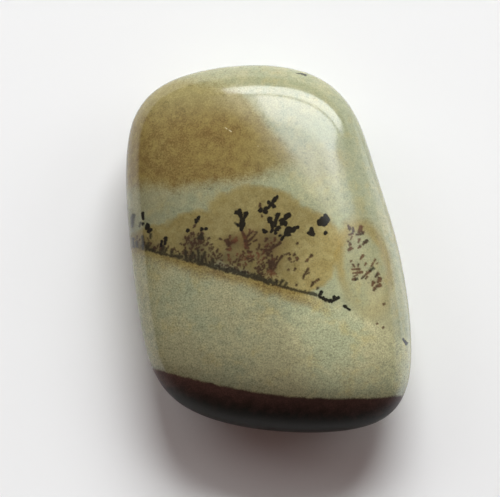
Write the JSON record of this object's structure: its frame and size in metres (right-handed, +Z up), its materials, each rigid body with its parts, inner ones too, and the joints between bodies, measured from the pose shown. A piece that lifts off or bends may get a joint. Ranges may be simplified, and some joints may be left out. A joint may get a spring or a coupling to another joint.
{
  "type": "polished porcellanite pebble",
  "caption": "Polished pebble of landscape porcellanite, a leaning rounded rectangle with a broad domed crown, full round rim and a small ground flat to rest on.",
  "frame": {"origin": "middle of the resting flat, under the middle of the stone's box", "axes": "+Z up out of the domed face, +Y along the stone's long way towards the ochre end, +X to the right of the domed face"},
  "size_m": [0.0206, 0.0265, 0.008],
  "materials": {
    "porcellanite": "polished"
  },
  "bodies": {
    "root": {"porcellanite_stone": "porcellanite"}
  },
  "joints": []
}
